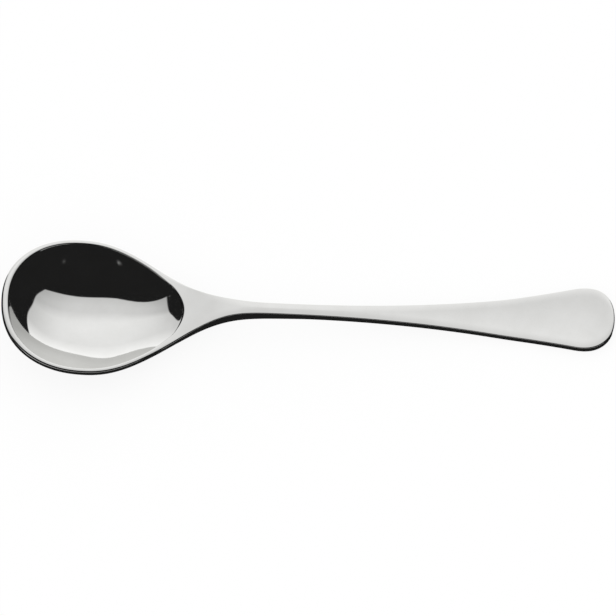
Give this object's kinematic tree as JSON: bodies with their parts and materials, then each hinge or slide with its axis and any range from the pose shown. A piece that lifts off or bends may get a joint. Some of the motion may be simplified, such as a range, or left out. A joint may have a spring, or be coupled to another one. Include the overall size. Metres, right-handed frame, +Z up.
{
  "type": "demitasse spoon",
  "caption": "Small polished steel coffee spoon with an egg-shaped bowl, a thin arched stem and a flared, rounded handle end, for stirring and taking up sugar in a small cup.",
  "frame": {"origin": "middle of the spoon's length and width, on the table that it lies on", "axes": "+X from the tip of the bowl to the end of the handle, +Z up out of the hollow of the bowl, and Y across"},
  "size_m": [0.11, 0.026, 0.0095],
  "materials": {
    "polished_steel": "mirror polished stainless steel"
  },
  "bodies": {
    "root": {"bowl": "polished_steel", "handle": "polished_steel"}
  },
  "joints": []
}
